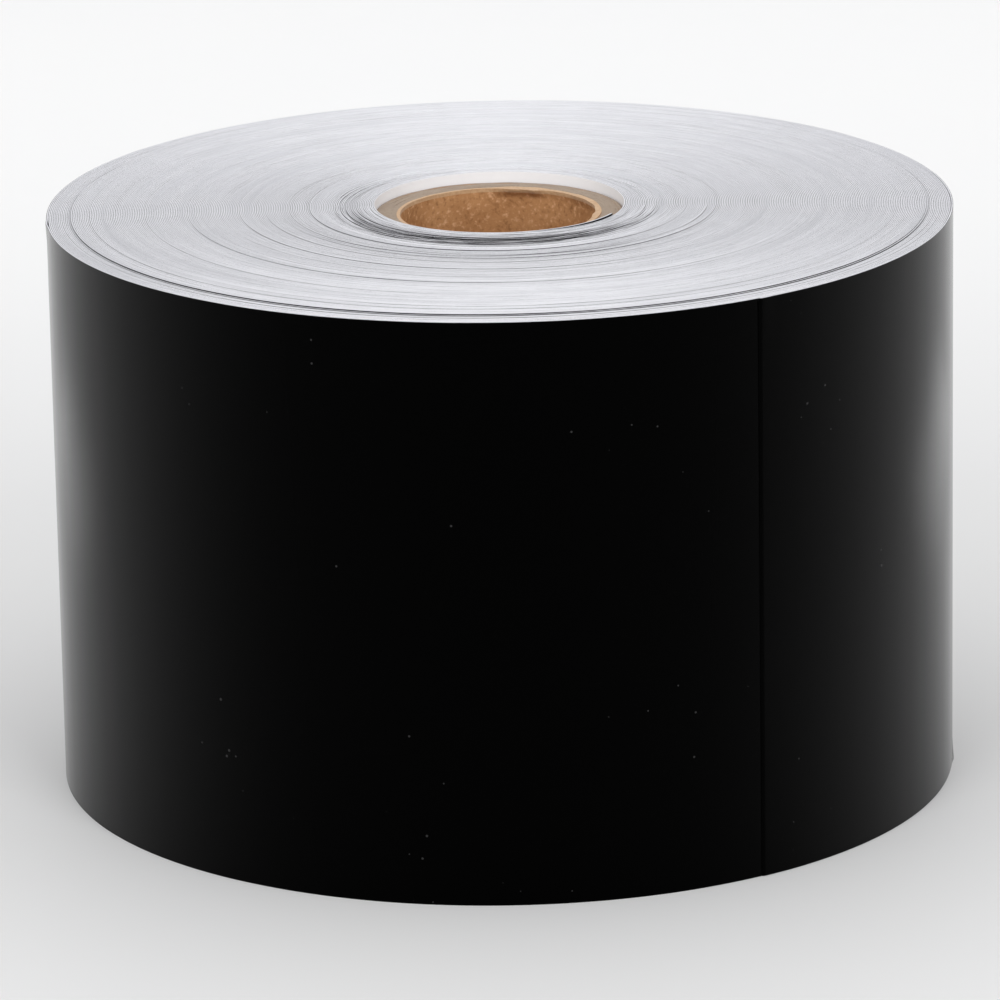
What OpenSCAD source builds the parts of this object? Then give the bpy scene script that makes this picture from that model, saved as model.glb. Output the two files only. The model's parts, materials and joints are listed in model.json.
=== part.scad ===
// Roll of self-adhesive sign vinyl: a narrow web of black film on a white release
// liner, wound film side out on a paper core and standing on its end.
// The roll's axis is +Z and the origin is on that axis, in the plane it stands on.
// The web runs as a true two-centre spiral of half turns. Its radius falls with
// the angle, so the free end on the outside points clockwise seen from above.

/* [Web] */
// Width of the web, which is the height of the standing roll
web_w = 76.2; // [20:0.1:160]
// Full turns of web between its inner end and its free end
turns = 191; // [60:1:260]
// Thickness of the vinyl film
film_t = 0.05; // [0.03:0.005:0.2]
// Thickness of the adhesive on the back of the film
adhesive_t = 0.025; // [0.01:0.005:0.06]
// Thickness of the paper release liner
liner_t = 0.15; // [0.05:0.005:0.3]
// Angle of the web's free end about the roll's axis, from +X
free_end_angle = -57.1; // [-180:0.1:180]
// How far past the free end's angle the inner end of the web lies
inner_end_arc = 31.1; // [5:0.1:150]

/* [Wound edge] */
// How far the turns next to the core stand above the outermost turns
raised_lift = 0.45; // [0.1:0.05:3]
// How far the shoulder of turns around those stands up
shoulder_lift = 0.3; // [0.1:0.05:3]
// How far the main pack of turns stands up
main_lift = 0.2; // [0.05:0.05:3]
// Turns in the raised pack next to the core
raised_turns = 7; // [2:1:15]
// Turns in the shoulder around the raised pack
shoulder_turns = 10; // [2:1:15]
// Turns in the low pack at the outside
low_turns = 12; // [2:1:15]
// Outermost turns that are modelled layer by layer
layered_turns = 2; // [1:1:3]

/* [Core] */
// Inside diameter of the core
core_id = 26; // [12:0.1:80]
// Wall of the core
core_wall = 3.175; // [1:0.005:10]
// How much shorter than the web's width the core is
core_short = 1; // [0:0.1:4]
// Thickness of the tape that holds the web's inner end to the core
tape_t = 0.06; // [0.03:0.01:0.2]
// Arc of the core that the tape covers
tape_arc = 60; // [10:1:90]

/* [Free end] */
// Arc of the outermost turn that lifts off the roll
tail_arc = 72; // [60:1:120]
// Arc at the very end over which the film peels from the liner
peel_arc = 8; // [3:0.5:12]
// Gap between two lengths of web at each line where the tail bends
bend_gap = 0.1; // [0.05:0.01:0.3]
// Radial gap between the tail and the turn under it
tail_gap = 0.05; // [0.03:0.01:0.2]
// Radial gap between the peeling film and its liner
peel_gap = 0.05; // [0.03:0.01:0.2]
// How far the tail's lower edge stays off the plane the roll stands on
edge_gap = 0.05; // [0.02:0.01:0.5]

/* [Hidden] */
$fn = 180;

kraft = "#a8764a";
board = "#b3a48f";
tape_colour = "#d9cfae";
liner_colour = "#eceef2";
adhesive_colour = "#c9cbcd";
film_colour = "#0c0c0d";
edge_colour = "#dcdde1";

// Plies in the core's wall, and what each one takes of it
core_plies = 7;
ply_t = core_wall / core_plies;
core_r = core_id / 2 + core_wall;
core_len = web_w - core_short;

// Radial places of the three layers, counted out from the web's inner face
web_t = liner_t + adhesive_t + film_t;
adhesive_at = liner_t;
film_at = liner_t + adhesive_t;

// Each half turn is an arc about one of two centres this far from the axis
offset_c = web_t / 4;
// Radius of the web's inner face over the first half of turn 0. The end of the
// web lies one turn further in, on the tape.
first_r = core_r + tape_t + web_t - offset_c * cos(inner_end_arc);

// First turn of each pack, counted out from the core
shoulder_from = 1 + raised_turns;
main_from = shoulder_from + shoulder_turns;
layered_from = turns - 1 - layered_turns;
low_from = layered_from - low_turns;

// Lengths of the tail between its bend lines
tail_lengths = 4;
length_arc = tail_arc / tail_lengths;
// Outer face of the lifted tail, where its bend lines lie
tail_r = turn_r(turns - 1) + tail_gap + web_t;
bend_half = asin(bend_gap / 2 / tail_r);

// Inner-face radius of a turn over its first half
function turn_r(turn) = first_r + turn * web_t;

// A ring, with its inner radius, thickness, bottom and height
module ring(inner_r, thickness, bottom, height) {
  rotate_extrude()
    translate([inner_r, bottom])
      square([thickness, height]);
}

// An arc of the first half of a turn, between two angles from the free end's line
module first_half(inner_r, thickness, bottom, from = 0, to = 180) {
  translate([offset_c, 0, 0])
    rotate_extrude(angle = to - from, start = from)
      translate([inner_r, bottom])
        square([thickness, web_w]);
}

// The second half of a turn, about the other centre
module second_half(inner_r, thickness, bottom) {
  translate([-offset_c, 0, 0])
    rotate_extrude(angle = 180, start = 180)
      translate([inner_r - 2 * offset_c, bottom])
        square([thickness, web_w]);
}

// Whole turns, filled from the inner face of one to the outer face of another
module turn_pack(from_turn, to_turn, bottom) {
  inner_r = turn_r(from_turn);
  thickness = (to_turn - from_turn + 1) * web_t;
  first_half(inner_r, thickness, bottom);
  second_half(inner_r, thickness, bottom);
}

// One ply of the core, counted from the bore
module core_ply(index) {
  ring(core_id / 2 + index * ply_t, ply_t, 0, core_len);
}

// One layer of the turn next to the core, which ends on the tape
module first_turn_layer(layer_at, thickness) {
  first_half(turn_r(0) + layer_at, thickness, raised_lift);
  second_half(turn_r(0) + layer_at, thickness, raised_lift);
  first_half(turn_r(-1) + layer_at, thickness, raised_lift, 0, inner_end_arc);
}

// One layer of the outermost turns, up to the line where the tail starts
module outer_turns_layer(layer_at, thickness) {
  for (turn = [layered_from : turns - 2]) {
    first_half(turn_r(turn) + layer_at, thickness, 0);
    second_half(turn_r(turn) + layer_at, thickness, 0);
  }
  first_half(turn_r(turns - 1) + layer_at, thickness, 0, tail_arc + bend_half, 180);
  second_half(turn_r(turns - 1) + layer_at, thickness, 0);
}

// One layer of a length of the tail, counted from the roll to the free end
module tail_layer(index, layer_at, thickness, from_free_end) {
  root = tail_arc - index * length_arc;
  tip = root - length_arc;
  start = tip > 0.001 ? tip + bend_half : from_free_end;
  first_half(turn_r(turns - 1) + tail_gap + layer_at, thickness, edge_gap,
             start, root - bend_half);
}

// One layer of the film's end that peels off the liner
module peel_layer(layer_at, thickness) {
  first_half(turn_r(turns - 1) + tail_gap + peel_gap + layer_at, thickness, edge_gap,
             0, peel_arc - bend_half);
}

// Everything on the web is turned so that its free end lies at its own angle
module on_web() {
  rotate([0, 0, free_end_angle])
    children();
}

module core_inner_ply() {
  color(kraft) core_ply(0);
}

module core_body_ply(index) {
  color(board) core_ply(index);
}

module core_outer_ply() {
  color(kraft) core_ply(core_plies - 1);
}

// Fills the gap between the core and the web's inner face under its last arc
module starter_tape() {
  color(tape_colour)
    on_web()
      intersection() {
        difference() {
          union() {
            translate([offset_c, 0, raised_lift])
              rotate_extrude(angle = inner_end_arc, start = 0)
                square([turn_r(-1), web_w]);
            translate([-offset_c, 0, raised_lift])
              rotate_extrude(angle = 180, start = 180)
                square([turn_r(0) - 2 * offset_c, web_w]);
          }
          cylinder(r = core_r, h = 2 * web_w + raised_lift);
        }
        translate([0, 0, raised_lift])
          rotate_extrude(angle = tape_arc, start = inner_end_arc - tape_arc)
            square([core_r + web_t, core_len - raised_lift]);
      }
}

module first_turn_liner() {
  color(liner_colour) on_web() first_turn_layer(0, liner_t);
}

module first_turn_adhesive() {
  color(adhesive_colour) on_web() first_turn_layer(adhesive_at, adhesive_t);
}

module first_turn_film() {
  color(film_colour) on_web() first_turn_layer(film_at, film_t);
}

module inner_turns() {
  color(edge_colour)
    on_web() {
      turn_pack(1, shoulder_from - 1, raised_lift);
      turn_pack(shoulder_from, main_from - 1, shoulder_lift);
    }
}

module main_turns() {
  color(edge_colour) on_web() turn_pack(main_from, low_from - 1, main_lift);
}

module low_turns_pack() {
  color(edge_colour) on_web() turn_pack(low_from, layered_from - 1, 0);
}

module outer_turns_liner() {
  color(liner_colour) on_web() outer_turns_layer(0, liner_t);
}

module outer_turns_adhesive() {
  color(adhesive_colour) on_web() outer_turns_layer(adhesive_at, adhesive_t);
}

module outer_turns_film() {
  color(film_colour) on_web() outer_turns_layer(film_at, film_t);
}

module tail_liner(index) {
  color(liner_colour) on_web() tail_layer(index, 0, liner_t, 0);
}

module tail_adhesive(index) {
  color(adhesive_colour)
    on_web() tail_layer(index, adhesive_at, adhesive_t, peel_arc + bend_half);
}

module tail_film(index) {
  color(film_colour)
    on_web() tail_layer(index, film_at, film_t, peel_arc + bend_half);
}

module peel_adhesive() {
  color(adhesive_colour) on_web() peel_layer(adhesive_at, adhesive_t);
}

module peel_film() {
  color(film_colour) on_web() peel_layer(film_at, film_t);
}

core_inner_ply();
for (index = [1 : core_plies - 2])
  core_body_ply(index);
core_outer_ply();
starter_tape();
first_turn_liner();
first_turn_adhesive();
first_turn_film();
inner_turns();
main_turns();
low_turns_pack();
outer_turns_liner();
outer_turns_adhesive();
outer_turns_film();
for (index = [0 : tail_lengths - 1]) {
  tail_liner(index);
  tail_adhesive(index);
  tail_film(index);
}
peel_adhesive();
peel_film();
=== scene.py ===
"""Roll of sign vinyl, standing on its end: black film on a white liner, wound on a paper core."""

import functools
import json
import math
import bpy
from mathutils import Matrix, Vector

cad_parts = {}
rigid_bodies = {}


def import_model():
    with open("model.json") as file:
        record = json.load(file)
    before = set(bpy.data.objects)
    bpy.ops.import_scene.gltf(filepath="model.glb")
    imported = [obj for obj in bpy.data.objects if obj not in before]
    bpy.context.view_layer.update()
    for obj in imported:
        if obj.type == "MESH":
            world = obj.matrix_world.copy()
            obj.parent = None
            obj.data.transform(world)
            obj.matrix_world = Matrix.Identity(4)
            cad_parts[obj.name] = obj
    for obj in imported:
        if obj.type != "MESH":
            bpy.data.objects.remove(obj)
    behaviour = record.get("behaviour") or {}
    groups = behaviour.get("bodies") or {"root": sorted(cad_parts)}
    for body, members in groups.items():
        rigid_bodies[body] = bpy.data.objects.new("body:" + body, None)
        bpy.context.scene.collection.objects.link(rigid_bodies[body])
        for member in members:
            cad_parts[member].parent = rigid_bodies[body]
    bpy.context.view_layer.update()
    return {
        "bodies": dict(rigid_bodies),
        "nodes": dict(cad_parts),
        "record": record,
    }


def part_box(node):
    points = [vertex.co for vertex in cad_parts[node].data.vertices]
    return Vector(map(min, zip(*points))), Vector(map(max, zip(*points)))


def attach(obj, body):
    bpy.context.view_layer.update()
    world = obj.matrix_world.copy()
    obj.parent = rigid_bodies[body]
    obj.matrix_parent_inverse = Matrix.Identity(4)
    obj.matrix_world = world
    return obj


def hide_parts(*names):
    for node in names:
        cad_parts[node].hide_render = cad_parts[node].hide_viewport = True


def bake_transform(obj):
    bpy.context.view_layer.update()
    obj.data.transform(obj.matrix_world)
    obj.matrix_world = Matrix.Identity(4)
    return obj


bl_info = {
    "name": "Sign vinyl roll",
    "version": (1, 0, 0),
    "blender": (4, 5, 0),
    "location": "View3D > Sidebar > Vinyl Roll",
    "description": "Builds a wound roll of self-adhesive sign vinyl round its packed frame",
    "category": "Object",
}

import bpy
import numpy as np
from bpy.props import FloatProperty, FloatVectorProperty, IntProperty, PointerProperty
from mathutils import Matrix, Vector

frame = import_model()

MM = 0.001
TURN = 2 * math.pi


def linear(hex_colour):
    """An sRGB hex colour, such as #A8764A, as linear red, green and blue."""
    parts = [int(hex_colour[i : i + 2], 16) / 255 for i in (1, 3, 5)]
    return [c / 12.92 if c <= 0.04045 else ((c + 0.055) / 1.055) ** 2.4 for c in parts]


def heights(node):
    """Lowest and highest point of a CAD node."""
    low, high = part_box(node)
    return low.z, high.z


# Sizes and places that the frame gives
BORE = next(m for m in frame["record"]["mounts"] if m["name"] == "core_bore")
BORE_R = BORE["dims"]["r_mm"] * MM
CORE_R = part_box("core_outer_ply")[1].x
CORE_TOP = heights("core_outer_ply")[1]
WEB_BOTTOM, OUTER_TOP = heights("outer_turns_film")
WEB_W = OUTER_TOP - WEB_BOTTOM
TAIL_LIFT = heights("tail_1_film")[0] - WEB_BOTTOM
MOST_LIFT = heights("first_turn_film")[0] - WEB_BOTTOM
BODY_PLIES = sum(name.startswith("core_body_ply") for name in frame["nodes"])
TAILS = sum(body.startswith("tail_") for body in frame["bodies"])

# ---------------------------------------------------------------- settings


def length(name, default, description):
    """A property for a length in metres."""
    return FloatProperty(
        name=name, description=description, default=default, min=0, precision=6, unit="LENGTH"
    )


def angle(name, default, description):
    """A property for an angle, with its default in degrees."""
    return FloatProperty(
        name=name, description=description, default=math.radians(default), subtype="ANGLE"
    )


def count(name, default, description, least=0):
    """A property for a number of turns."""
    return IntProperty(name=name, description=description, default=default, min=least)


def power(name, default, description):
    """A property for a light's power in watts."""
    return FloatProperty(name=name, description=description, default=default, min=0, unit="POWER")


def colour(name, default, description):
    """A property for a colour, with its default in sRGB hex."""
    return FloatVectorProperty(
        name=name, description=description, default=linear(default), subtype="COLOR", min=0, max=1
    )


class WebSettings(bpy.types.PropertyGroup):
    """The laminate and how it is wound."""

    film_t: length("Film", 0.05 * MM, "Thickness of the vinyl film")
    adhesive_t: length("Adhesive", 0.025 * MM, "Thickness of the adhesive")
    liner_t: length("Liner", 0.15 * MM, "Thickness of the release liner")
    tape_t: length("Starter tape", 0.06 * MM, "Thickness of the tape under the inner end")
    tail_gap: length("Tail gap", 0.05 * MM, "Gap between the tail and the turn under it")
    turns: count("Turns", 191, "Full turns of web", 60)
    raised_turns: count("Raised turns", 7, "Turns that stand highest, at the core")
    shoulder_turns: count("Shoulder turns", 10, "Turns outside those, a little lower")
    low_turns: count("Low turns", 12, "Turns in the low outer pack")
    layered_turns: count("Outer turns", 2, "Full turns outside that pack")
    free_end: angle("Free end", -57.1, "Angle of the web's free end from +X")
    inner_end: angle("Inner end", 31.1, "How far past the free end the inner end lies")
    tail_arc: angle("Tail", 72, "Arc of the outermost turn that lifts")
    peel_arc: angle("Peel", 8, "Arc over which the film peels at the free end")
    stray: length("Stray", 0.007 * MM, "How far the edge of one turn strays from the next")
    recess: length("Recess", 0.016 * MM, "How far the film has shrunk back from the liner's edge")
    lap: length("Lap", 0.3 * MM, "How far the film laps over the liner's cut end")
    film_colour: colour("Film colour", "#020202", "Colour of the vinyl film")
    liner_colour: colour("Liner colour", "#F6F7FA", "Colour of the release liner")
    adhesive_colour: colour("Adhesive colour", "#F3F1EA", "Tint of the clear adhesive")


class CoreSettings(bpy.types.PropertyGroup):
    """The spiral-wound paper core."""

    seam_lead: length("Seam lead", 62 * MM, "Height that a ply's seam climbs in one turn")
    seam_gap: length("Seam gap", 0.35 * MM, "Width of the groove along a ply's seam")
    torn_lean: length("Torn lip", 1.1 * MM, "How far the torn lip leans into the bore")
    kraft_colour: colour("Kraft", "#BC8C5F", "Colour of the inner and outer plies")
    board_colour: colour("Board", "#A3927F", "Colour of the body plies")
    tape_colour: colour("Tape", "#D9CFAE", "Colour of the starter tape")


class StageSettings(bpy.types.PropertyGroup):
    """Floor, lights and camera."""

    floor_colour: colour("Floor", "#E2E2E2", "Colour of the painted sweep")
    overhead_power: power("Overhead", 4.4, "Power of the softbox overhead")
    back_power: power("Back", 0.44, "Power of the softbox that lights the back of the sweep")
    left_power: power("Left", 4.2, "Power of the softbox to the left of the camera")
    right_power: power("Right", 5, "Power of the softbox to the right of the camera")
    left_pool_power: power("Left pool", 0.009, "Power of the light on the floor at the left")
    right_pool_power: power("Right pool", 0.013, "Power of the light on the floor at the right")
    fill: FloatProperty(name="Fill", description="Strength of the room's own light", default=0.82)
    camera_distance: length("Camera distance", 0.89568, "Camera's distance in front of the axis")
    camera_height: length("Camera height", 0.30203, "Camera's height above the floor")
    camera_pitch: angle("Camera pitch", 16.5538, "How far the camera looks down")
    camera_yaw: angle("Camera yaw", -0.0339, "How far the camera turns to the right")
    camera_roll: angle("Camera roll", -1.0029, "How far the camera leans")
    focal_length: FloatProperty(
        name="Focal length", description="Camera's focal length", default=253.32, unit="CAMERA"
    )


class RollSettings(bpy.types.PropertyGroup):
    """Everything that a user can set on the roll."""

    web: PointerProperty(type=WebSettings)
    core: PointerProperty(type=CoreSettings)
    stage: PointerProperty(type=StageSettings)


def settings():
    """The roll's settings on the current scene."""
    return bpy.context.scene.vinyl_roll


# ---------------------------------------------------------------- materials

# Sockets of a Mix node that mixes colours
MIX_A, MIX_B, MIX_COLOUR = 6, 7, 2


def add_node(tree, kind, values=None, links=None, **options):
    """Adds a node to a material, with its options, its own values and what is linked into it."""
    node = tree.nodes.new(kind)
    for name, value in options.items():
        setattr(node, name, value)
    for socket, value in (values or {}).items():
        node.inputs[socket].default_value = value
    for socket, source in (links or {}).items():
        tree.links.new(getattr(source, "outputs", [source])[0], node.inputs[socket])
    return node


def new_material(name):
    """An empty material, a function that adds nodes to it, and its coordinates in metres."""
    made = bpy.data.materials.new(name)
    made.use_nodes = True
    made.node_tree.nodes.clear()
    node = functools.partial(add_node, made.node_tree)
    return made, node, node("ShaderNodeTexCoord").outputs["Object"]


def paint(shade):
    """A hex colour or a colour setting, with its alpha."""
    return (*(linear(shade) if isinstance(shade, str) else shade), 1)


def per_mm(size):
    """Scale of a pattern whose features are about this many millimetres across."""
    return 1 / (size * MM)


def winding_rings(node, place):
    """Noise in rings round the roll's axis, as uneven winding leaves it, fading in and out."""
    flat = node("ShaderNodeVectorMath", {1: (1, 1, 0)}, {0: place}, operation="MULTIPLY")
    radius = node("ShaderNodeVectorMath", None, {0: flat}, operation="LENGTH").outputs["Value"]
    slow = node("ShaderNodeVectorMath", {1: (0.03, 0.03, 0)}, {0: place}, operation="MULTIPLY")
    return node(
        "ShaderNodeTexNoise", {"Scale": per_mm(1.5), "Detail": 3},
        {"Vector": slow, "W": radius}, noise_dimensions="4D",
    )


def pvc_film(web):
    """Calendered PVC film, polished between rolls: black and smooth. It looks almost without
    gloss face on, reflects brightly at a glancing angle, and holds a few specks of dust."""
    made, node, place = new_material("calendered_pvc_film")
    patches = node("ShaderNodeTexNoise", {"Scale": per_mm(14)}, {"Vector": place})
    speck_size = node(
        "ShaderNodeMapRange",
        {"From Min": 0.5, "From Max": 0.7, "To Min": 0.02, "To Max": 0.085},
        {"Value": patches},
    )
    cells = node("ShaderNodeTexVoronoi", {"Scale": per_mm(2.4)}, {"Vector": place})
    speck = node("ShaderNodeMath", None, {0: cells, 1: speck_size}, operation="LESS_THAN")
    tone = node(
        "ShaderNodeMix", {MIX_A: paint(web.film_colour), MIX_B: paint("#2C2C2C")},
        {"Factor": speck}, data_type="RGBA",
    )
    orange_peel = node(
        "ShaderNodeTexNoise", {"Scale": per_mm(1.1), "Detail": 3}, {"Vector": place}
    )
    surface = node("ShaderNodeBump", {"Distance": 0.001 * MM}, {"Height": orange_peel})
    shader = node(
        "ShaderNodeBsdfPrincipled",
        {
            "IOR": 1.54, "Roughness": 0.15,
            "Specular IOR Level": 0.14, "Specular Tint": paint("#3C3C3C"),
        },
        {"Base Color": tone.outputs[MIX_COLOUR], "Normal": surface},
    )
    node("ShaderNodeOutputMaterial", None, {"Surface": shader})
    return made


def slit_film_edge():
    """The film's slit edge: the same PVC, dulled by the knife and greyed in rings by the paper
    dust that some turns hold more of than others."""
    made, node, place = new_material("slit_film_edge")
    dust = node(
        "ShaderNodeMapRange", {"From Min": 0.35, "From Max": 0.65},
        {"Value": winding_rings(node, place)},
    )
    tone = node(
        "ShaderNodeMix", {MIX_A: paint("#414144"), MIX_B: paint("#B0B0B5")},
        {"Factor": dust}, data_type="RGBA",
    )
    shader = node(
        "ShaderNodeBsdfPrincipled",
        {"IOR": 1.54, "Roughness": 0.7, "Specular IOR Level": 0.2},
        {"Base Color": tone.outputs[MIX_COLOUR]},
    )
    node("ShaderNodeOutputMaterial", None, {"Surface": shader})
    return made


def silicone_liner(web):
    """Bleached kraft liner, clay coated and siliconed: smooth, cool white, with a satin finish."""
    made, node, place = new_material("silicone_coated_liner")
    cloud = node("ShaderNodeTexNoise", {"Scale": per_mm(3), "Detail": 4}, {"Vector": place})
    tone = node(
        "ShaderNodeMix", {MIX_A: paint(web.liner_colour), MIX_B: paint("#EEEFF3")},
        {"Factor": cloud}, data_type="RGBA",
    )
    tooth = node("ShaderNodeTexNoise", {"Scale": per_mm(0.3), "Detail": 3}, {"Vector": place})
    surface = node("ShaderNodeBump", {"Distance": 0.002 * MM}, {"Height": tooth})
    shader = node(
        "ShaderNodeBsdfPrincipled",
        {"IOR": 1.5, "Specular IOR Level": 0.4, "Roughness": 0.42},
        {"Base Color": tone.outputs[MIX_COLOUR], "Normal": surface},
    )
    node("ShaderNodeOutputMaterial", None, {"Surface": shader})
    return made


def slit_liner_edge():
    """The liner's slit edge, cut by a rotary knife: white fibre ends, lightly soiled, laid
    along the web, so that their sheen runs across the turns."""
    made, node, place = new_material("slit_liner_edge")
    cloud = node("ShaderNodeTexNoise", {"Scale": per_mm(4), "Detail": 3}, {"Vector": place})
    pale = node(
        "ShaderNodeMix", {MIX_A: paint("#E9E9EF"), MIX_B: paint("#DADAE0")},
        {"Factor": cloud}, data_type="RGBA",
    )
    rings = node(
        "ShaderNodeMapRange",
        {"From Min": 0.47, "From Max": 0.7, "To Min": 0, "To Max": 0.6},
        {"Value": winding_rings(node, place)},
    )
    ringed = node(
        "ShaderNodeMix", {MIX_B: paint("#B4B5BB")},
        {"Factor": rings, MIX_A: pale.outputs[MIX_COLOUR]}, data_type="RGBA",
    )
    grain = node(
        "ShaderNodeTexNoise", {"Scale": per_mm(0.5), "Detail": 4, "Roughness": 0.7},
        {"Vector": place},
    )
    soil = node(
        "ShaderNodeMapRange",
        {"From Min": 0.55, "From Max": 0.75, "To Min": 0, "To Max": 0.35}, {"Value": grain},
    )
    tone = node(
        "ShaderNodeMix", {MIX_B: paint("#A4A5AB")},
        {"Factor": soil, MIX_A: ringed.outputs[MIX_COLOUR]}, data_type="RGBA",
    )
    along = node("ShaderNodeTangent", direction_type="RADIAL", axis="Z")
    surface = node("ShaderNodeBump", {"Distance": 0.008 * MM}, {"Height": grain})
    shader = node(
        "ShaderNodeBsdfPrincipled",
        {"IOR": 1.5, "Roughness": 0.4, "Anisotropic": 0.8},
        {"Base Color": tone.outputs[MIX_COLOUR], "Tangent": along, "Normal": surface},
    )
    node("ShaderNodeOutputMaterial", None, {"Surface": shader})
    return made


def acrylic_adhesive(web):
    """Clear acrylic adhesive, cast from solvent in a thin even coat: colourless, as if wet."""
    made, node, place = new_material("clear_acrylic_adhesive")
    streaks = node("ShaderNodeTexNoise", {"Scale": per_mm(1.5)}, {"Vector": place})
    rough = node(
        "ShaderNodeMapRange",
        {"From Min": 0.3, "From Max": 0.7, "To Min": 0.08, "To Max": 0.2}, {"Value": streaks},
    )
    shader = node(
        "ShaderNodeBsdfPrincipled",
        {"Base Color": paint(web.adhesive_colour), "IOR": 1.47, "Transmission Weight": 1},
        {"Roughness": rough},
    )
    node("ShaderNodeOutputMaterial", None, {"Surface": shader})
    return made


def kraft_paper(core):
    """Unbleached kraft paper on the core: brown and matt, mottled by its uneven fibre, with
    dark specks of bark and pale fibre bundles."""
    made, node, place = new_material("kraft_core_paper")
    cloud = node("ShaderNodeTexNoise", {"Scale": per_mm(5), "Detail": 3}, {"Vector": place})
    patch = node(
        "ShaderNodeMapRange",
        {"From Min": 0.35, "From Max": 0.65, "To Min": 0, "To Max": 0.5}, {"Value": cloud},
    )
    base = node(
        "ShaderNodeMix", {MIX_A: paint(core.kraft_colour), MIX_B: paint("#9A6A40")},
        {"Factor": patch}, data_type="RGBA",
    )
    fibre = node(
        "ShaderNodeTexNoise", {"Scale": per_mm(0.7), "Detail": 5, "Roughness": 0.65},
        {"Vector": place},
    )
    bark = node(
        "ShaderNodeMapRange",
        {"From Min": 0.46, "From Max": 0.3, "To Min": 0, "To Max": 0.6}, {"Value": fibre},
    )
    specked = node(
        "ShaderNodeMix", {MIX_B: paint("#754A2A")},
        {"Factor": bark, MIX_A: base.outputs[MIX_COLOUR]}, data_type="RGBA",
    )
    bundle = node(
        "ShaderNodeMapRange",
        {"From Min": 0.54, "From Max": 0.7, "To Min": 0, "To Max": 0.8}, {"Value": fibre},
    )
    tone = node(
        "ShaderNodeMix", {MIX_B: paint("#E0B48C")},
        {"Factor": bundle, MIX_A: specked.outputs[MIX_COLOUR]}, data_type="RGBA",
    )
    surface = node(
        "ShaderNodeBump", {"Strength": 0.6, "Distance": 0.06 * MM}, {"Height": fibre}
    )
    shader = node(
        "ShaderNodeBsdfPrincipled",
        {"IOR": 1.5, "Specular IOR Level": 0.25, "Roughness": 0.8},
        {"Base Color": tone.outputs[MIX_COLOUR], "Normal": surface},
    )
    node("ShaderNodeOutputMaterial", None, {"Surface": shader})
    return made


def torn_kraft():
    """Kraft paper torn at its edge: the pale tan of bare fibre, fuzzy and matt."""
    made, node, place = new_material("torn_kraft_fibre")
    fuzz = node("ShaderNodeTexNoise", {"Scale": per_mm(0.4), "Detail": 4}, {"Vector": place})
    tone = node(
        "ShaderNodeMix", {MIX_A: paint("#A87F58"), MIX_B: paint("#D6B48E")},
        {"Factor": fuzz}, data_type="RGBA",
    )
    surface = node("ShaderNodeBump", {"Distance": 0.08 * MM}, {"Height": fuzz})
    shader = node(
        "ShaderNodeBsdfPrincipled",
        {"IOR": 1.5, "Specular IOR Level": 0.2, "Roughness": 0.9, "Sheen Weight": 0.2},
        {"Base Color": tone.outputs[MIX_COLOUR], "Normal": surface},
    )
    node("ShaderNodeOutputMaterial", None, {"Surface": shader})
    return made


def grey_board(core):
    """Recycled chipboard in the core's body plies, sawn across: warm grey, matt and fuzzy."""
    made, node, place = new_material("recycled_chipboard")
    cloud = node("ShaderNodeTexNoise", {"Scale": per_mm(2.5), "Detail": 3}, {"Vector": place})
    base = node(
        "ShaderNodeMix", {MIX_A: paint(core.board_colour), MIX_B: paint("#8F7C6B")},
        {"Factor": cloud}, data_type="RGBA",
    )
    fibre = node(
        "ShaderNodeTexNoise", {"Scale": per_mm(0.35), "Detail": 4, "Roughness": 0.7},
        {"Vector": place},
    )
    dark = node(
        "ShaderNodeMapRange",
        {"From Min": 0.5, "From Max": 0.72, "To Min": 0, "To Max": 0.5}, {"Value": fibre},
    )
    tone = node(
        "ShaderNodeMix", {MIX_B: paint("#6E5A49")},
        {"Factor": dark, MIX_A: base.outputs[MIX_COLOUR]}, data_type="RGBA",
    )
    surface = node(
        "ShaderNodeBump", {"Strength": 0.8, "Distance": 0.06 * MM}, {"Height": fibre}
    )
    shader = node(
        "ShaderNodeBsdfPrincipled",
        {"IOR": 1.5, "Specular IOR Level": 0.2, "Roughness": 0.9, "Sheen Weight": 0.15},
        {"Base Color": tone.outputs[MIX_COLOUR], "Normal": surface},
    )
    node("ShaderNodeOutputMaterial", None, {"Surface": shader})
    return made


def crepe_tape(core):
    """Creped masking tape: pale cream paper with fine wrinkles, and a dull sheen."""
    made, node, place = new_material("creped_masking_tape")
    crepe = node(
        "ShaderNodeTexNoise", {"Scale": per_mm(0.6), "Detail": 3, "Roughness": 0.6},
        {"Vector": place},
    )
    tone = node(
        "ShaderNodeMix", {MIX_A: paint(core.tape_colour), MIX_B: paint("#C6B98F")},
        {"Factor": crepe}, data_type="RGBA",
    )
    surface = node(
        "ShaderNodeBump", {"Strength": 0.7, "Distance": 0.03 * MM}, {"Height": crepe}
    )
    shader = node(
        "ShaderNodeBsdfPrincipled",
        {"IOR": 1.5, "Specular IOR Level": 0.3, "Roughness": 0.7},
        {"Base Color": tone.outputs[MIX_COLOUR], "Normal": surface},
    )
    node("ShaderNodeOutputMaterial", None, {"Surface": shader})
    return made


def emulsion_sweep(stage):
    """Matt white emulsion rolled on the studio's sweep: pale, soft and without gloss."""
    made, node, place = new_material("matt_emulsion_sweep")
    mottle = node("ShaderNodeTexNoise", {"Scale": per_mm(60)}, {"Vector": place})
    tone = node(
        "ShaderNodeMix", {MIX_A: paint(stage.floor_colour), MIX_B: paint("#E1E1E2")},
        {"Factor": mottle}, data_type="RGBA",
    )
    shader = node(
        "ShaderNodeBsdfPrincipled",
        {"IOR": 1.5, "Specular IOR Level": 0.2, "Roughness": 0.6},
        {"Base Color": tone.outputs[MIX_COLOUR]},
    )
    node("ShaderNodeOutputMaterial", None, {"Surface": shader})
    return made


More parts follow.
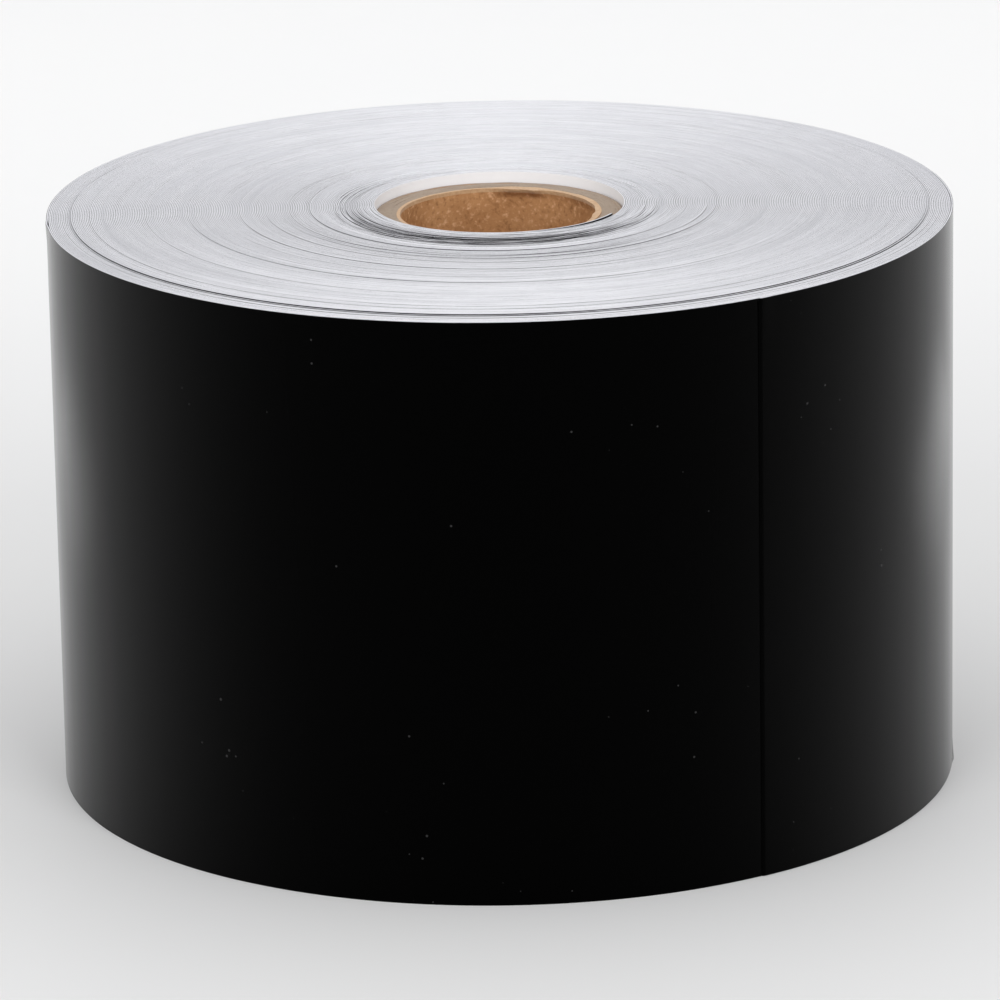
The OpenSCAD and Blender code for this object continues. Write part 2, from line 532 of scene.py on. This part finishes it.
MAKERS = {
    "film": lambda roll: pvc_film(roll.web),
    "film_edge": lambda roll: slit_film_edge(),
    "liner": lambda roll: silicone_liner(roll.web),
    "liner_edge": lambda roll: slit_liner_edge(),
    "adhesive": lambda roll: acrylic_adhesive(roll.web),
    "kraft": lambda roll: kraft_paper(roll.core),
    "torn": lambda roll: torn_kraft(),
    "board": lambda roll: grey_board(roll.core),
    "tape": lambda roll: crepe_tape(roll.core),
    "sweep": lambda roll: emulsion_sweep(roll.stage),
}


@functools.cache
def material(name):
    """The material of that name, made when it is first asked for."""
    return MAKERS[name](settings())


# ---------------------------------------------------------------- meshes


def slab(name, inner, outer, worn, closed=False, worn_rows=0):
    """A closed mesh between an inner and an outer face, each a grid of points with its rows
    going up and its columns anticlockwise. Its rims wear the second material, and so do the
    inner face's highest worn_rows. closed joins the last column to the first."""
    rows, columns = inner.shape[:2]
    at = np.arange(2 * rows * columns).reshape(2, rows, columns)
    if closed:
        at = np.concatenate([at, at[:, :, :1]], axis=2)
    inside, outside = at

    def quads(low, high):
        sides = (low[..., :-1], low[..., 1:], high[..., 1:], high[..., :-1])
        return np.stack(sides, axis=-1).reshape(-1, 4)

    walls = [quads(outside[:-1], outside[1:]), quads(inside[1:], inside[:-1])]
    rims = [quads(outside[-1], inside[-1]), quads(inside[0], outside[0])]
    ends = [quads(inside[:, 0], outside[:, 0])[:, ::-1], quads(inside[:, -1], outside[:, -1])]
    faces = np.concatenate(walls + rims + ([] if closed else ends))
    mesh = bpy.data.meshes.new(name)
    mesh.from_pydata(np.concatenate([inner, outer]).reshape(-1, 3).tolist(), [], faces.tolist())
    for each in worn:
        mesh.materials.append(each)
    number = np.arange(len(faces))
    edged = number >= sum(map(len, walls)) - worn_rows * (at.shape[2] - 1)
    edged &= number < sum(map(len, walls + rims))
    mesh.polygons.foreach_set("material_index", edged * (len(worn) - 1))
    mesh.shade_smooth()
    mesh.set_sharp_from_angle(angle=math.radians(40))
    piece = bpy.data.objects.new(name, mesh)
    bpy.context.scene.collection.objects.link(piece)
    return piece


# ---------------------------------------------------------------- the wound web

FRONT = -math.pi / 2
# Radius and height of the wound end, in millimetres above the outermost turns
PROFILE_R = (16.3, 17.3, 18.4, 19.6, 20.2, 21.2, 22.8, 24.5, 55.9, 56.1, 60.0)
PROFILE_LIFT = (0.43, 0.41, 0.27, 0.07, 0.04, 0.08, 0.17, 0.19, 0.2, 0.0, 0.0)
# Rings where a turn stands proud of the turns outside it: its radius and height in
# millimetres, the angle from the front at which it is highest, in degrees anticlockwise, and
# how much it fades on the far side
RINGS = (
    (18.6, 0.06, -60, 0.6),
    (20.5, 0.07, -65, 0.7),
    (22.4, 0.04, 40, 0.8),
    (24.6, 0.09, -50, 0.85),
    (27.4, 0.06, -35, 0.9),
    (28.5, 0.06, 65, 0.9),
    (30.5, 0.04, -70, 0.9),
    (33.9, 0.06, -60, 0.9),
    (36.4, 0.03, -60, 0.9),
    (38.9, 0.03, -75, 0.9),
    (40.6, 0.06, -45, 0.85),
    (41.6, 0.03, 65, 0.9),
    (46.2, 0.035, -60, 0.9),
    (52.0, 0.035, 20, 0.9),
    (53.4, 0.05, -55, 0.9),
    (56.2, 0.04, 0, 0.5),
    (57.1, 0.05, 20, 0.6),
    (57.7, 0.03, 65, 0.7),
)
# Turns over which a ring rises to its height, and over which it then dies away
RING_RISE = 0.2
RING_DECAY = 4.5
# Bands where the turns are stacked unevenly: inner and outer radius, and how many times
# further their edges stray
LOOSE_BANDS = ((16.0, 18.8, 3.5), (18.6, 21.8, 9.0), (26.4, 27.8, 3.0), (39.6, 40.8, 2.0))
# Radius over which such a band starts and stops, in millimetres
BAND_EDGE = 0.5
# How far the film's edge is squeezed out on the front, against radius, both in millimetres,
# and the angle from the front at which it is squeezed out most
SQUEEZED_R = (17.2, 19.2, 21.2, 22.8, 25.0, 28.0, 31.0, 36.0, 42.0)
SQUEEZED_OUT = (0.0, 0.042, 0.038, 0.012, 0.018, 0.022, 0.014, 0.008, 0.0)
SQUEEZED_TOWARDS = math.radians(-25)
# Beside the web's inner end: the dip's depth, half arc, outer radius and edge, then the height
# and arc of the first wrap's rise. Lengths are in millimetres
DIP_DEPTH = 0.3
DIP_ARC = math.radians(38)
DIP_R = 19.5
DIP_EDGE = 1.5
WRAP_RISE = 0.27
WRAP_ARC = math.radians(62)
# Places in one turn at which the edge is given its own stray, and the seed of the strays
EDGE_SECTORS = 60
EDGE_SEED = 7
# Dents in the outermost turn: angle from the front in degrees, height as a share of the
# web's width, how far it stands out, its half width and its half height, in millimetres
DENTS = ((-84.0, 1.0, 0.14, 1.5, 0.8), (33.4, 1.0, 0.12, 1.1, 2.0), (86.0, 0.0, 0.2, 1.6, 1.0))


def smoothed(values, width):
    """The values, each averaged with its neighbours along the first axis and kept as lively."""
    kernel = np.ones(width) / math.sqrt(width)
    return np.apply_along_axis(lambda v: np.convolve(v, kernel, "same"), 0, values)


def ease(share):
    """A share from 0 to 1 that starts and stops gently."""
    share = np.clip(share, 0, 1)
    return share * share * (3 - 2 * share)


def turned(first, second):
    """The smallest angle from one to the other."""
    return (first - second + math.pi) % TURN - math.pi


class Web:
    """Where the web runs. travel is the angle along it from the free end, going inwards."""

    def __init__(self, sizes):
        self.sizes = sizes
        self.pitch = sizes.film_t + sizes.adhesive_t + sizes.liner_t
        self.offset = self.pitch / 4
        self.first_r = CORE_R + sizes.tape_t + self.pitch - self.offset * math.cos(sizes.inner_end)
        self.end = sizes.turns * TURN + sizes.inner_end
        random = np.random.default_rng(EDGE_SEED)
        count = (sizes.turns + 3) * EDGE_SECTORS
        alone, shared, self.shrinkage = random.normal(0, 1, (3, count))
        shared = smoothed(shared.reshape(-1, EDGE_SECTORS), 5).ravel()
        self.strays = 0.6 * smoothed(alone, 4) + 0.8 * smoothed(shared, 16)

    def layers(self):
        """Each layer's name, its depth from the web's inner face and its thickness."""
        liner_t, adhesive_t = self.sizes.liner_t, self.sizes.adhesive_t
        return (
            ("liner", 0, liner_t),
            ("adhesive", liner_t, adhesive_t),
            ("film", liner_t + adhesive_t, self.sizes.film_t),
        )

    def stretches(self):
        """Each wound stretch: its name, its start and end, and its steps for each turn."""
        sizes = self.sizes
        outer = sizes.layered_turns + 1
        low = outer + sizes.low_turns
        main = sizes.turns - 1 - sizes.raised_turns - sizes.shoulder_turns
        return (
            ("outer_turns", sizes.tail_arc, outer * TURN, 360),
            ("low_turns", outer * TURN, low * TURN, 240),
            ("main_turns", low * TURN, main * TURN, 120),
            ("inner_turns", main * TURN, (sizes.turns - 1) * TURN, 120),
            ("first_turn", (sizes.turns - 1) * TURN, self.end, 240),
        )

    def turn_of(self, travel):
        """The turn's number, counted from the core, and the angle into it."""
        passed = np.maximum(np.floor(travel / TURN + 1e-9), 0)
        return self.sizes.turns - 1 - passed, travel - passed * TURN

    def point(self, travel, depth):
        """Places on the web, depth out from its inner face."""
        turn, theta = self.turn_of(travel)
        second = theta >= math.pi
        radius = self.first_r + turn * self.pitch + depth - 2 * self.offset * second
        centre = np.where(second, -self.offset, self.offset)
        around = theta + self.sizes.free_end
        x = centre * math.cos(self.sizes.free_end) + radius * np.cos(around)
        y = centre * math.sin(self.sizes.free_end) + radius * np.sin(around)
        return x, y

    def place(self, travel):
        """Radius in millimetres and angle from the front at that travel."""
        turn, theta = self.turn_of(travel)
        radius = (self.first_r + (turn - theta / TURN) * self.pitch) / MM
        return radius, theta + self.sizes.free_end - FRONT

    def lift(self, travel):
        """How far the liner's edge stands above that of the outermost turns."""
        radius, around = self.place(travel)
        lift = np.interp(radius, PROFILE_R, PROFILE_LIFT) + self.rings(travel, around)
        lift += self.stray(travel, radius) + self.first_wrap(travel, radius, around)
        return np.clip(lift * MM, 0, MOST_LIFT)

    def rings(self, travel, around):
        """How far the rings raise the edge, in millimetres. Each starts at the back."""
        lift = np.zeros(len(travel))
        back = (math.pi + FRONT - self.sizes.free_end) / TURN
        for radius, height, peak, fade in RINGS:
            at = self.sizes.turns - 1 - (radius * MM - self.first_r) / self.pitch
            inwards = travel / TURN - (math.floor(at) + back)
            share = 1 - fade * (0.5 - 0.5 * np.cos(around - math.radians(peak)))
            decay = np.exp(-np.maximum(inwards, 0) / RING_DECAY)
            lift += height * share * ease(inwards / RING_RISE) * decay
        return lift

    def along(self, travel, values):
        """Values given at every sector of the web, at that travel."""
        return np.interp(travel / TURN * EDGE_SECTORS, range(len(values)), values)

    def stray(self, travel, radius):
        """How far the edge strays from its place, in millimetres."""
        loose = np.ones(len(travel))
        for inner, outer, times in LOOSE_BANDS:
            starts, stops = ease((radius - inner) / BAND_EDGE), ease((outer - radius) / BAND_EDGE)
            loose += (times - 1) * starts * stops
        return self.sizes.stray / MM * loose * self.along(travel, self.strays)

    def first_wrap(self, travel, radius, around):
        """How far the turns at the core dip beside the web's inner end, while the first wrap
        itself stands proud of them towards that end. In millimetres."""
        end = self.sizes.inner_end + self.sizes.free_end - FRONT
        dip = DIP_DEPTH * np.exp(-((turned(around, end) / DIP_ARC) ** 2))
        dip = dip * ease((DIP_R - radius) / DIP_EDGE)
        left = self.end - travel
        proud = WRAP_RISE * ease(1 - left / WRAP_ARC) * (left < TURN)
        return proud - dip

    def recess(self, travel, lift):
        """How far the film's edge lies inside the liner's. Near the core, on the front, the
        tight turns have squeezed it out instead."""
        uneven = self.along(travel, self.shrinkage)
        radius, around = self.place(travel)
        squeezed = np.interp(radius, SQUEEZED_R, SQUEEZED_OUT) * MM
        squeezed *= ease(0.45 + 0.8 * np.cos(around - SQUEEZED_TOWARDS))
        inside = self.sizes.recess * np.clip(1 + 0.35 * uneven, 0.2, 2)
        return np.maximum(inside - squeezed * (1 + 0.3 * uneven), -lift)

    def dents(self, travel, share):
        """How far the outermost turn stands out, for each share of its height and place."""
        radius, around = self.place(travel)
        out = np.zeros((len(share), len(travel)))
        for towards, height, amount, half_width, half_height in DENTS:
            along = turned(around, math.radians(towards)) * radius / half_width
            above = (share - height) * WEB_W / MM / half_height
            out += amount * MM * np.exp(-(along**2) - above[:, None] ** 2)
        return out * (travel < TURN)

    def strip(self, name, layer, travel, lift, off=0, rows=1):
        """One layer of a stretch of web, standing on its edge. lift is the height of the
        web's edge along it, and off is how far it stands out from where it would lie."""
        kind, depth, thickness = layer
        inside = 0 if kind == "liner" else self.recess(travel, lift)
        share = np.linspace(0, 1, rows + 1)
        z = WEB_BOTTOM + lift + inside + share[:, None] * (WEB_W - 2 * inside)
        out = depth + off + (self.dents(travel, share) if rows > 1 else 0)
        faces = []
        for level in (out, out + thickness):
            x, y = self.point(travel, level)
            faces.append(np.stack([*np.broadcast_arrays(x, y, z)], axis=-1))
        worn = [material(kind)]
        if kind != "adhesive":
            worn.append(material(f"{kind}_edge"))
        return slab(name, *faces, worn)


# CAD nodes that stand for every layer of a stretch
PACKS = {
    "low_turns": "low_turns_pack",
    "main_turns": "main_turns",
    "inner_turns": "inner_turns",
}
# Rows of faces up the outermost turns, which have dents
OUTER_ROWS = 28


class VINYL_OT_wound_turns(bpy.types.Operator):
    """Builds the wound web, layer by layer, from the tail's root in to the core"""

    bl_idname = "vinyl.wound_turns"
    bl_label = "Wound turns"

    def execute(self, context):
        web = Web(settings().web)
        for stretch, start, end, steps in web.stretches():
            rows = OUTER_ROWS if stretch == "outer_turns" else 1
            travel = np.linspace(start, end, round((end - start) / TURN * steps) + 1)
            for layer in web.layers():
                kind = layer[0]
                name = f"{stretch}_{kind}"
                piece = web.strip(f"{name}_web", layer, travel, web.lift(travel), rows=rows)
                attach(piece, "roll")
                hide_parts(PACKS.get(stretch, name))
        return {"FINISHED"}


# ---------------------------------------------------------------- the tail

# Steps for each turn, the arc over which the tail comes off the turn under it, and the share
# of the peel's arc that sets the second travel handed to bend
TAIL_STEPS = 720
RAMP = math.radians(3)
PEEL_BEND = 0.4


class VINYL_OT_tail(bpy.types.Operator):
    """Builds the free end of the web, in lengths that meet at its joints"""

    bl_idname = "vinyl.tail"
    bl_label = "Tail"

    def execute(self, context):
        sizes = settings().web
        web = Web(sizes)
        spacing = sizes.tail_arc / TAILS
        half = spacing / 2
        peel_bend = sizes.peel_arc * PEEL_BEND
        for layer in web.layers():
            kind = layer[0]
            for number in range(1, TAILS + 1):
                line = sizes.tail_arc - (number - 1) * spacing
                before = "roll" if number == 1 else f"tail_{number - 1}"
                start = line if number == 1 else line + half
                stop = line - half
                if number == TAILS:
                    stop = 0 if kind == "liner" else sizes.peel_arc
                name = f"tail_{number}_{kind}"
                piece = self.length_of_tail(web, layer, f"{name}_web", start, stop)
                self.bend(web, piece, (before, f"tail_{number}"), start, line - half)
                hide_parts(name)
            if kind != "liner":
                lap = -sizes.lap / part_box("tail_4_film")[1].length
                piece = self.length_of_tail(web, layer, f"peel_{kind}_web", sizes.peel_arc, lap)
                bodies = (f"tail_{TAILS}", "film_end")
                self.bend(web, piece, bodies, sizes.peel_arc, sizes.peel_arc - peel_bend)
                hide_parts(f"peel_{kind}")
        return {"FINISHED"}

    def length_of_tail(self, web, layer, name, start, stop):
        """One layer of the tail between two travels, eased off the turn under it."""
        sizes = web.sizes
        travel = np.linspace(stop, start, max(6, round((start - stop) / TURN * TAIL_STEPS)) + 1)
        if stop < 0:
            lap = np.linspace(stop, 0, 13)
            travel = np.concatenate([lap[:-1], travel[travel >= 0]])
        clear = ease((sizes.tail_arc - travel) / RAMP)
        over = ease(travel / stop) if stop < 0 else 0
        off = sizes.tail_gap * clear - (sizes.tail_gap + sizes.liner_t) * over
        lift = web.lift(travel) * (1 - clear) + TAIL_LIFT * clear
        return web.strip(name, layer, travel, lift, off, OUTER_ROWS)

    def bend(self, web, piece, bodies, start, end):
        """Bakes the piece's placement into its mesh."""
        x, y = web.point(np.array([start, end]), web.pitch)
        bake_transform(piece)


# ---------------------------------------------------------------- the core

# Depth of the torn lip below the core's top, and, in degrees anticlockwise from the front,
# where it starts, where its flap starts and where it stops
LIP_DEPTH = 1.3 * MM
TORN_FROM, FLAP_FROM, TORN_TO = 52, 146, 188
LIP_RISE = 0.15 * MM
GROOVE_DEPTH = 0.08 * MM


class VINYL_OT_core(bpy.types.Operator):
    """Builds the core's plies, from the kraft paper in the bore to the one outside"""

    bl_idname = "vinyl.core"
    bl_label = "Core"

    def execute(self, context):
        names = [f"core_body_ply_{k + 1}" for k in range(BODY_PLIES)]
        names = ["core_inner_ply", *names, "core_outer_ply"]
        ply_t = (CORE_R - BORE_R) / len(names)
        for k, name in enumerate(names):
            is_body = name in names[1:-1]
            edge = "torn" if k == 0 else "board"
            worn = [material("board" if is_body else "kraft"), material(edge)]
            piece = self.ply(f"{name}_wound", k, BORE_R + k * ply_t, ply_t, worn)
            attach(piece, "roll")
            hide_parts(name)
        return {"FINISHED"}

    def ply(self, name, number, inner_r, thickness, worn):
        """One ply: a tube with the groove of its helical seam and a slightly uneven top."""
        core = settings().core
        random = np.random.default_rng(number)
        theta = np.linspace(0, TURN, 288, endpoint=False)
        share = np.concatenate([np.linspace(0, 0.95, 60)[:-1], np.linspace(0.95, 1, 24)])[:, None]
        uneven = np.zeros(len(theta))
        for waves in range(2, 24):
            size, phase = random.normal(), random.uniform(0, TURN)
            uneven += size * np.cos(waves * theta + phase) / waves**0.5
        z = share * (CORE_TOP + (0.014 * uneven - 0.02 * abs(random.normal())) * MM)
        climb = core.seam_lead / TURN * (1 if number % 2 else -1)
        from_seam = turned(theta - z / climb, number) * inner_r
        groove = GROOVE_DEPTH * np.exp(-((from_seam / core.seam_gap) ** 2))
        lean, rise = self.torn_lip(theta, z) if number == 0 else (0, 0)
        inner = inner_r + groove - lean
        outer = inner_r + thickness - groove * (number > 0)
        grids = [
            np.stack([radius * np.cos(theta), radius * np.sin(theta), z + rise], axis=-1)
            for radius in (inner, outer)
        ]
        return slab(name, *grids, worn, closed=True, worn_rows=3 * (number == 0))

    def torn_lip(self, theta, z):
        """How far the inner ply's rim leans into the bore, and how far it stands up, where the
        saw has torn and fluffed it."""
        around = np.degrees(theta - FRONT) % 360
        torn = ease((around - TORN_FROM) / 25) * ease((TORN_TO - around) / 14)
        flap = ease((around - FLAP_FROM) / 12)
        ragged = 0.72 + 0.16 * np.cos(np.radians(9 * around))
        ragged += 0.12 * np.cos(np.radians(23 * around))
        top = ease(1 - (CORE_TOP - z) / LIP_DEPTH)
        lean = settings().core.torn_lean * torn * ragged * (0.45 + 0.75 * flap) * top
        return lean, LIP_RISE * torn * ragged * top


class VINYL_OT_starter_tape(bpy.types.Operator):
    """Gives the tape under the web's inner end its creped paper"""

    bl_idname = "vinyl.starter_tape"
    bl_label = "Starter tape"

    def execute(self, context):
        mesh = frame["nodes"]["starter_tape"].data
        mesh.materials.clear()
        mesh.materials.append(material("tape"))
        return {"FINISHED"}


# ---------------------------------------------------------------- the stage

# Pools of light on the floor: their places either side of the roll, and the lamp over each
POOL_X = 0.155
POOL_Y = 0.115
POOL_LIGHT_Z = 0.2
POOL_LIGHT = (0.06, 0.1)
POOL_SPREAD = math.radians(20)


def softbox(name, place, aim, size, watts, spread=math.pi):
    """A rectangular area light that shines from one point towards another."""
    light = bpy.data.lights.new(name, "AREA")
    light.shape = "RECTANGLE"
    light.size, light.size_y = size
    light.energy = watts
    light.spread = spread
    lamp = bpy.data.objects.new(name, light)
    lamp.location = place
    lamp.rotation_euler = (Vector(aim) - Vector(place)).to_track_quat("-Z", "Y").to_euler()
    bpy.context.scene.collection.objects.link(lamp)


class VINYL_OT_stage(bpy.types.Operator):
    """Sets out the floor and backdrop, the soft lights and the camera"""

    bl_idname = "vinyl.stage"
    bl_label = "Stage"

    def execute(self, context):
        stage = settings().stage
        self.sweep()
        self.lights(stage)
        self.room(stage)
        self.camera(stage)
        context.scene.view_settings.view_transform = "Standard"
        return {"FINISHED"}

    def sweep(self):
        """A floor that runs back and curves up into a wall."""
        half_width, front, wall, bend, top = 3.0, -2.5, 1.6, 0.8, 2.6
        turns = [k / 16 * math.pi / 2 for k in range(17)]
        curve = [(wall - bend + bend * math.sin(a), bend - bend * math.cos(a)) for a in turns]
        profile = [(front, 0), *curve, (wall, top)]
        points = [(side * half_width, y, WEB_BOTTOM + z) for y, z in profile for side in (-1, 1)]
        faces = [(2 * k, 2 * k + 1, 2 * k + 3, 2 * k + 2) for k in range(len(profile) - 1)]
        mesh = bpy.data.meshes.new("studio_sweep")
        mesh.from_pydata(points, [], faces)
        mesh.materials.append(material("sweep"))
        mesh.shade_smooth()
        floor = bpy.data.objects.new("studio_sweep", mesh)
        bpy.context.scene.collection.objects.link(floor)

    def lights(self, stage):
        """Softboxes overhead, at the back and on both sides of the camera, and two small pools
        of light on the floor behind the roll, which the film mirrors at its left and right."""
        middle = (0, 0, WEB_W / 2)
        softbox("overhead", (0, 0.35, 1.5), (0, 0, 0), (1.6, 1.6), stage.overhead_power)
        softbox("back", (0, 0.44, 0.12), (0, 0.44, 0), (1.2, 0.44), stage.back_power)
        softbox("left", (-0.55, -1.1, 0.65), middle, (0.5, 0.9), stage.left_power)
        softbox("right", (0.55, -1.1, 0.65), middle, (0.5, 0.9), stage.right_power)
        pools = (
            ("left_pool", -POOL_X, stage.left_pool_power),
            ("right_pool", POOL_X, stage.right_pool_power),
        )
        for name, x, watts in pools:
            place, aim = (x, POOL_Y, POOL_LIGHT_Z), (x, POOL_Y, 0)
            softbox(name, place, aim, POOL_LIGHT, watts, POOL_SPREAD)

    def room(self, stage):
        """The even white light that a pale room adds from all sides."""
        world = bpy.data.worlds.new("studio")
        world.use_nodes = True
        world.node_tree.nodes["Background"].inputs["Color"].default_value = (1, 1, 1, 1)
        world.node_tree.nodes["Background"].inputs["Strength"].default_value = stage.fill
        bpy.context.scene.world = world

    def camera(self, stage):
        """A long lens in front of the roll, that looks down on it."""
        turn, tilt, lean = stage.camera_yaw, stage.camera_pitch, stage.camera_roll
        level = Vector((math.sin(turn), math.cos(turn), 0))
        ahead = level * math.cos(tilt) - Vector((0, 0, math.sin(tilt)))
        right = Vector((math.cos(turn), -math.sin(turn), 0))
        up = right.cross(ahead)
        across = right * math.cos(lean) + up * math.sin(lean)
        over = up * math.cos(lean) - right * math.sin(lean)
        lens = bpy.data.cameras.new("camera")
        lens.lens = stage.focal_length
        lens.sensor_width = 36
        lens.clip_start, lens.clip_end = 0.01, 100
        holder = bpy.data.objects.new("camera", lens)
        bpy.context.scene.collection.objects.link(holder)
        place = Matrix.Translation((0, -stage.camera_distance, WEB_BOTTOM + stage.camera_height))
        holder.matrix_world = place @ Matrix((across, over, -ahead)).transposed().to_4x4()
        bpy.context.scene.camera = holder


# ---------------------------------------------------------------- add-on


class VINYL_PT_roll(bpy.types.Panel):
    """Lists the roll's settings and pieces in the sidebar"""

    bl_label = "Vinyl roll"
    bl_idname = "VINYL_PT_roll"
    bl_space_type = "VIEW_3D"
    bl_region_type = "UI"
    bl_category = "Vinyl Roll"

    def draw(self, context):
        for group in ("web", "core", "stage"):
            box = self.layout.box()
            values = getattr(settings(), group)
            for name in values.__annotations__:
                box.prop(values, name)
        for operator in OPERATORS:
            self.layout.operator(operator.bl_idname)


OPERATORS = (
    VINYL_OT_stage,
    VINYL_OT_core,
    VINYL_OT_starter_tape,
    VINYL_OT_wound_turns,
    VINYL_OT_tail,
)
CLASSES = (WebSettings, CoreSettings, StageSettings, RollSettings, *OPERATORS, VINYL_PT_roll)


def register():
    """Registers the classes and puts the settings on the scene."""
    for each in CLASSES:
        bpy.utils.register_class(each)
    bpy.types.Scene.vinyl_roll = PointerProperty(type=RollSettings)


def unregister():
    """Takes the settings off the scene and unregisters the classes."""
    del bpy.types.Scene.vinyl_roll
    for each in reversed(CLASSES):
        bpy.utils.unregister_class(each)


def main():
    """Builds the whole scene."""
    register()
    bpy.ops.vinyl.stage()
    bpy.ops.vinyl.core()
    bpy.ops.vinyl.starter_tape()
    bpy.ops.vinyl.wound_turns()
    bpy.ops.vinyl.tail()
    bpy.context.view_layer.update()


if __name__ == "__main__":
    main()
